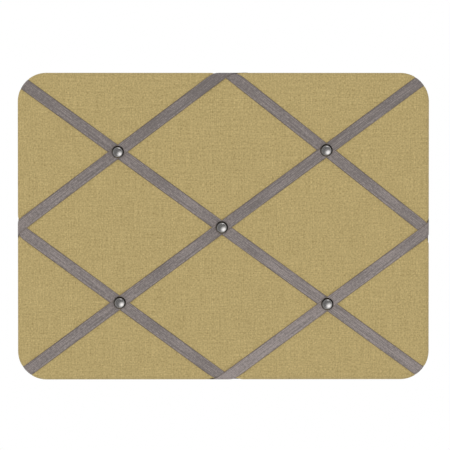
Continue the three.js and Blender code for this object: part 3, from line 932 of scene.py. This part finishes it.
def ribbon_rows(name):
    """The places of a ribbon's rows along its flat strip, from tail to tail, closer near the bends."""
    _, way, length = ribbon_line(name)
    past_edge = [
        (step_run(end, way) - FRONT_ROLL + TAIL_RAMP + TAIL_LENGTH) / abs(way @ end["normal"])
        for end in RIBBONS[name]
    ]
    limits = [-past_edge[0], BEND_ZONE, length - BEND_ZONE, length + past_edge[1]]
    stretches = [
        np.linspace(low, high, round((high - low) / step), endpoint=False)
        for low, high, step in zip(limits, limits[1:], (BEND_STEP, RIBBON_STEP, BEND_STEP))
    ]
    return np.append(np.concatenate(stretches), limits[-1])[:, None]


def fold_end(end, way, plan, height, crown):
    """A flat strip's points, folded round the board's edge at one of the ribbon's ends.

    A point's way out past the outline there becomes a run round the edge's profile, and its place
    along the edge stays as it is. At a round corner the outline falls back by the arc's sag, which
    fades away over the front. Past the hem the tail steps down to the core.
    """
    normal, tangent = end["normal"], end["tangent"]
    out = (plan - end["place"]) @ normal
    aside = (plan - end["place"]) @ tangent
    sag = np.zeros_like(out)
    if end["round"]:
        within = np.clip(aside, -SAG_LIMIT, SAG_LIMIT)
        fallen_back = CORNER_RADIUS - np.sqrt(CORNER_RADIUS**2 - within**2)
        sag = fallen_back * smooth((out + 2 * RIBBON_WIDTH) / RIBBON_WIDTH)
    run = out + sag + FRONT_ROLL
    crowned = height + crown * (1 - near_edge(run))
    edge_out, deep = edge_profile(run, crowned - ribbon_press(plan[..., 0], plan[..., 1], run))
    deep = deep - (hem_level - core_level) * smooth((run - step_run(end, way)) / TAIL_RAMP)
    place = end["place"] + (edge_out - sag)[..., None] * normal + aside[..., None] * tangent
    return points(place[..., 0], deep, place[..., 1])


def ribbon_grid(name):
    """A ribbon as its section carried along a straight strip that is folded at both ends.

    With the grid come its cut, its painted sheen as a tone for each point, and the strip's length.
    """
    start, way, length = ribbon_line(name)
    across = np.array([way[1], -way[0]])
    along = ribbon_rows(name)
    wide, thick, crown = (part[None, :] for part in ribbon_section())
    plan = start + along[..., None] * way + wide[..., None] * across
    height = RIBBON_GAP + thick + lift_over(name, along)
    first, last = (fold_end(end, way, plan, height, crown) for end in RIBBONS[name])
    folded = np.where((along < length / 2)[..., None], first, last)
    caps = np.repeat(folded[[0, -1]].mean(axis=1, keepdims=True), folded.shape[1], axis=1)
    capped = np.concatenate([caps[:1], folded, caps[1:]])
    flat = points(along, wide)
    flat = np.concatenate([flat[:1], flat, flat[-1:]])
    tone = np.interp(flat[..., 0], (0, length), RIBBON_PAINTED_SHEEN[name])
    return capped, flat, tone, np.ptp(along)


ribbon_finish = grey_ribbon()
for ribbon_name in RIBBONS:
    strip, strip_cut, strip_painted_sheen, strip_length = ribbon_grid(ribbon_name)
    piece_name = f"{ribbon_name}_ribbon"
    ribbon = add_piece(piece_name, [strip], ribbon_finish, "board", [strip_cut], strip_painted_sheen)
    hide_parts(f"ribbon_{ribbon_name}")


# Tacks
# Domed upholstery tacks of pressed steel with polished nickel plate, driven through both ribbons into
# the core. A dark ring is painted round the rim as shade of the gap under it, lighter where light
# falls.
TACK_HEAD_HEIGHT = 0.0042
TACK_SEAT_DROP = 0.0004
TACK_RIM = 0.0007
TACK_FLARE = 0.0003
TACK_EDGE = 0.0002
TACK_LIP_SHARE = 0.8
TACK_SHANK = 0.0009
TACK_NECK = 0.00135
TACK_POINT = 0.003
TACK_AROUND = 48
DOME_STEPS = 16
NICKEL = (0.35, 0.338, 0.330, 1)
NICKEL_PAINTED_SHADE = (0.016, 0.014, 0.013, 1)
NICKEL_WEAR = 0.0015
NICKEL_RELIEF = 0.00002
# Painted shade round the rim: where its ring starts and ends as shares of the radius, and the side
# where the light falls as a share of a turn, with how much lighter it is there.
SHADE_RING_FROM = 0.70
SHADE_RING_TO = 0.79
LIT_SIDE = 0.66
LIT_SIDE_SHARE = 0.65


def nickel():
    """Polished plate with faint wear and painted shade round the rim, lighter where the light falls.

    The cut's first axis is the share of a turn, and its second the share of the radius.
    """
    finish = Finish("nickel")
    flat = finish.node("UVMap", {"uv_map": "cut"})
    # Painted shade: a dark ring round the rim for the shadowed gap under it, fading towards the side
    # where the light falls.
    from_lit_side = finish.axis(flat, "X") - LIT_SIDE
    toward_lit_side = 0.5 + 0.5 * ((from_lit_side + 0.25) * (2 * math.pi)).sine()
    wear = finish.grain(NICKEL_WEAR, 3.0)
    shade_ring = finish.axis(flat, "Y").between(SHADE_RING_FROM, SHADE_RING_TO)
    dark = shade_ring * (1 - LIT_SIDE_SHARE * toward_lit_side * toward_lit_side)
    return finish.made({
        "Base Color": finish.mix(dark, NICKEL, NICKEL_PAINTED_SHADE),
        "Metallic": 1.0,
        "Roughness": 0.16 + 0.2 * wear + 0.25 * dark,
        "Normal": finish.bump(wear, NICKEL_RELIEF),
    })


def turned(profile, angles, middle):
    """A profile of (radius, y) carried through angles round an axis along Y, as a grid and its cut.

    The cut holds the angle's share of a turn and the radius as a share of the largest.
    """
    radius, deep = profile.T
    turn = angles[:, None]
    grid = points(middle[0] + radius * np.cos(turn), deep, middle[1] + radius * np.sin(turn))
    return grid, points(turn / (2 * math.pi), radius / radius.max())


def tack_profile(low, high):
    """From the top of the dome to the point: a quarter ellipse, a turned edge and the shank."""
    head_radius = (high[0] - low[0]) / 2
    top, tip = low[1], high[1]
    head_height = TACK_HEAD_HEIGHT + TACK_SEAT_DROP
    seat = top + head_height
    lean = np.linspace(0, math.pi / 2, DOME_STEPS)
    dome_y = seat - TACK_RIM - (head_height - TACK_RIM) * np.cos(lean)
    dome = points(head_radius * np.sin(lean), dome_y)
    below = np.array([
        (head_radius + TACK_FLARE, seat - TACK_EDGE),
        (head_radius + TACK_FLARE - TACK_EDGE, seat),
        (head_radius * TACK_LIP_SHARE, seat - TACK_EDGE),
        (TACK_NECK, seat - TACK_EDGE),
        (TACK_SHANK, seat),
        (TACK_SHANK, tip - TACK_POINT),
        (0, tip),
    ])
    return np.concatenate([dome, below])


nickel_plate = nickel()
full_turn = np.linspace(0, 2 * math.pi, TACK_AROUND + 1)
for tack_name in CROSSINGS:
    profile = tack_profile(*box(tack_name))
    tack_grid, tack_cut = turned(profile, full_turn, seen_middle(tack_name))
    tack = add_piece(f"{tack_name}_head", [tack_grid], nickel_plate, "board", [tack_cut])
    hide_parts(tack_name)


# Staples
# Flat steel wire staples through the ribbon tails and the hem, hidden under the back panel. Their
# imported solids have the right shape, so they only get their finish.
ZINC_PALE = (0.66, 0.67, 0.69, 1)
ZINC_DULL = (0.44, 0.45, 0.47, 1)
ZINC_PATCH = 0.0025
ZINC_GRAIN = 0.00025
ZINC_RELIEF = 0.00001


def zinc_steel():
    """Zinc-plated steel: soft pale and dull patches with a fine grain."""
    finish = Finish("zinc_steel")
    patch = finish.grain(ZINC_PATCH, 3.0)
    grain = finish.grain(ZINC_GRAIN, 2.0)
    return finish.made({
        "Base Color": finish.mix(patch.between(0.35, 0.65), ZINC_DULL, ZINC_PALE),
        "Metallic": 1.0,
        "Roughness": 0.26 + 0.2 * patch,
        "Normal": finish.bump(grain, ZINC_RELIEF),
    })


plated_steel = zinc_steel()
for node_name in frame["nodes"]:
    if node_name.startswith("staple_"):
        dress(node_name, plated_steel)


# Back panel
# Thin brown hardboard with eased edges, glued over the hem, the ribbon tails and the staples. It stops
# short of the edge, so a margin of the hem shows round it.
PANEL_BEVEL = 0.0005
PANEL_CELL = 0.012
PANEL_CORNER_CELL = 0.0015
PANEL_RINGS = 5
HARDBOARD = (0.165, 0.085, 0.042, 1)
HARDBOARD_PALE = (0.270, 0.150, 0.078, 1)
HARDBOARD_SAWN = (0.370, 0.230, 0.130, 1)
HARDBOARD_FIBRE = 0.0012
HARDBOARD_CLOUD = 0.05
HARDBOARD_RELIEF = 0.00008


def hardboard():
    """Pressed brown fibre: pale and dark flecks, slow changes of tone and a paler sawn edge."""
    finish = Finish("hardboard")
    fleck = finish.grain(HARDBOARD_FIBRE, 4.0)
    cloud = finish.grain(HARDBOARD_CLOUD, 2.0)
    sawn = finish.node("Attribute", {"attribute_name": "tone"}, None, "Fac")
    tone = (0.7 * fleck + 0.3 * cloud).between(0.36, 0.66)
    face = finish.mix(tone, HARDBOARD, HARDBOARD_PALE)
    return finish.made({
        "Base Color": finish.mix(sawn * (0.3 + fleck), face, HARDBOARD_SAWN),
        "Roughness": 0.5 + 0.25 * fleck + 0.2 * sawn,
        "Normal": finish.bump(fleck, HARDBOARD_RELIEF),
    })


def panel_grids():
    """The panel's two faces and its edge, eased by quarter circles, and 1 at its sawn edge's points."""
    low, high = box("back_panel")
    margin = half_width - high[0]
    face_x, face_z = board_plan(margin + PANEL_BEVEL, PANEL_CELL, PANEL_CORNER_CELL)
    turn = np.linspace(0, math.pi / 2, PANEL_RINGS)
    out = np.concatenate([PANEL_BEVEL * np.sin(turn), PANEL_BEVEL * np.cos(turn)])
    from_front = low[1] + PANEL_BEVEL * (1 - np.cos(turn))
    to_back = high[1] - PANEL_BEVEL * (1 - np.sin(turn))
    edge_x, edge_z = past_rim(rim_of(face_x, face_z), out)
    edge = points(edge_x, np.concatenate([from_front, to_back]), edge_z)
    front = points(face_x, low[1], face_z)
    back = points(face_x, high[1], face_z)[:, ::-1]
    on_edge = np.ones(edge.shape[:2])
    on_edge[:, [0, -1]] = 0
    on_face = np.zeros(face_x.size)
    return [front, edge, back], np.concatenate([on_face, on_edge.ravel(), on_face])


panel_faces, panel_sawn = panel_grids()
panel = add_piece("hardboard_back", panel_faces, hardboard(), "board", tone=panel_sawn)
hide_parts("back_panel")


# Ring hangers
# Zinc-plated steel straps, each screwed through the panel into the core. The strap's upper end is
# rolled round the straight bar of a wire ring, which swings in it.
STRAP_TAPER = 0.004
STRAP_WALL = 0.0008
STRAP_STEPS = 24
ROLL_SWEEP = math.radians(325)
ROLL_STEPS = 28
RING_WIRE = 0.001
RING_BEND = 0.0022
RING_STEPS = 120
WIRE_AROUND = 14
SCREW_HEAD_HEIGHT = 0.002
SCREW_HEAD_ROUND = 0.85
SCREW_RADIUS = 0.0015
SCREW_POINT = 0.0025
SCREW_AROUND = 32
SCREW_CROSS_WIDTH = 0.0008
SCREW_CROSS_LENGTH = 0.0036
SCREW_CROSS_DEPTH = 0.001
SCREW_CROSS_EDGE = 0.0002


def strap_grid(node, bar):
    """The strap as a section carried up its length and round the bar, with a half-round lower end.

    Its outer face runs up the panel side and round the roll, and its inner face up the other side
    and round the bar. The width follows a half circle at the lower end.
    """
    low, high = box(node)
    half = (high[0] - low[0]) / 2
    roll_radius = high[1] - bar[1]
    bore = roll_radius - STRAP_WALL
    round_end = half * (1 - np.cos(np.linspace(0, math.pi / 2, STRAP_STEPS // 2)))
    rise = np.concatenate([round_end, np.linspace(half, bar[2] - low[2], STRAP_STEPS)[1:]])
    up = low[2] + rise
    taper = smooth((up - bar[2] + STRAP_TAPER) / STRAP_TAPER)
    turn = math.pi - np.linspace(0, ROLL_SWEEP, ROLL_STEPS)[1:]

    def rolled(face_y, radius):
        """A line up one face of the strap and on round the bar, in y and z."""
        roll = points(bar[1] + radius * np.cos(turn), bar[2] + radius * np.sin(turn))
        return np.concatenate([points(face_y, up), roll])

    outer = rolled(low[1] + (bar[1] - roll_radius - low[1]) * taper, roll_radius)
    inner = rolled(bar[1] - bore, bore)
    round_width = np.sqrt(half**2 - np.clip(half - rise, 0, half) ** 2)
    width = np.append(round_width, np.full_like(turn, half))
    corners = [(outer, -1), (outer, 1), (inner, 1), (inner, -1), (outer, -1)]
    lines = [points(bar[0] + side * width, line[:, 0], line[:, 1]) for line, side in corners]
    grid = np.stack(lines, axis=1)
    end = np.repeat(grid[-1:, :4].mean(axis=1, keepdims=True), grid.shape[1], axis=1)
    return np.concatenate([grid, end])


def ring_grid(node, bar):
    """A round wire carried along a D: along the bar, round a bend, down, round the bow and up again."""
    low, high = box(node)
    side = (high[0] - low[0]) / 2 - RING_WIRE
    bow = bar[2] - low[2] - RING_WIRE - side
    inner = side - RING_BEND
    quarter = math.pi / 2
    step = (2 * (inner + bow - RING_BEND) + math.pi * (RING_BEND + side)) / RING_STEPS

    def line(first, last):
        """Places from one to before another."""
        return np.linspace(first, last, round(math.dist(first, last) / step), endpoint=False)

    def arc(x, z, radius, first, last):
        """Places round a centre, from one angle to before another."""
        turn = np.linspace(first, last, round(radius * abs(last - first) / step), endpoint=False)
        return points(x + radius * np.cos(turn), z + radius * np.sin(turn))

    path = np.concatenate([
        line((-inner, 0), (inner, 0)),
        arc(inner, -RING_BEND, RING_BEND, quarter, 0),
        line((side, -RING_BEND), (side, -bow)),
        arc(0, -bow, side, 0, -math.pi),
        line((-side, -bow), (-side, -RING_BEND)),
        arc(-inner, -RING_BEND, RING_BEND, math.pi, quarter),
    ])
    ahead = np.roll(path, -1, axis=0) - np.roll(path, 1, axis=0)
    ahead /= np.linalg.norm(ahead, axis=1, keepdims=True)
    outside = points(-ahead[:, 1], ahead[:, 0])
    path, outside = (np.concatenate([row, row[:1]]) for row in (path, outside))
    turn = np.linspace(0, 2 * math.pi, WIRE_AROUND + 1)[None, :]
    flat = path[:, None, :] + RING_WIRE * np.cos(turn)[..., None] * outside[:, None, :]
    return points(bar[0] + flat[..., 0], bar[1] - RING_WIRE * np.sin(turn), bar[2] + flat[..., 1])


def screw_grids(node):
    """A pan head with a cross recess on a grid drawn in to a disc, and the pointed shank under it.

    The head falls off as sqrt(1 - SCREW_HEAD_ROUND r^4), where r is the share of its radius.
    """
    low, high = box(node)
    middle = seen_middle(node)
    head = (high[0] - low[0]) / 2
    seat = high[1] - SCREW_HEAD_HEIGHT
    a, b = np.meshgrid(*[np.linspace(-1, 1, SCREW_AROUND + 1)] * 2)
    x = head * a * np.sqrt(1 - b * b / 2)
    z = head * b * np.sqrt(1 - a * a / 2)
    fall = SCREW_HEAD_ROUND * (np.hypot(x, z) / head) ** 4
    dome = seat + SCREW_HEAD_HEIGHT * np.sqrt(np.clip(1 - fall, 0, 1))

    def groove(place, width):
        """1 within a width and 0 outside it, with sloping sides."""
        return smooth((width / 2 + SCREW_CROSS_EDGE - np.abs(place)) / (2 * SCREW_CROSS_EDGE))

    upright = groove(x, SCREW_CROSS_WIDTH) * groove(z, SCREW_CROSS_LENGTH)
    level = groove(z, SCREW_CROSS_WIDTH) * groove(x, SCREW_CROSS_LENGTH)
    recessed = dome - SCREW_CROSS_DEPTH * np.maximum(upright, level)
    top = points(middle[0] + x, recessed, middle[1] + z)[:, ::-1]
    rim_y = seat + SCREW_HEAD_HEIGHT * math.sqrt(1 - SCREW_HEAD_ROUND)
    shank = np.array([
        (head, rim_y),
        (head, seat),
        (SCREW_RADIUS, seat),
        (SCREW_RADIUS, low[1] + SCREW_POINT),
        (0, low[1]),
    ])
    under, _ = turned(shank, np.arctan2(outline_of(z), outline_of(x)), middle)
    return [top, under[::-1]]


for joint in frame["joints"]:
    side_name = joint["child"].split("_")[0]
    bar = np.array(joint["pos_m"])
    strap_node, ring_node, screw_node = (
        f"hanger_{part}_{side_name}" for part in ("strap", "ring", "screw")
    )
    hanger = [
        ("strap", strap_node, "board", [strap_grid(strap_node, bar)]),
        ("wire_ring", ring_node, joint["child"], [ring_grid(ring_node, bar)]),
        ("screw", screw_node, "board", screw_grids(screw_node)),
    ]
    for part, node, body, grids in hanger:
        piece = add_piece(f"{side_name}_{part}", grids, plated_steel, body)
        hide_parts(node)
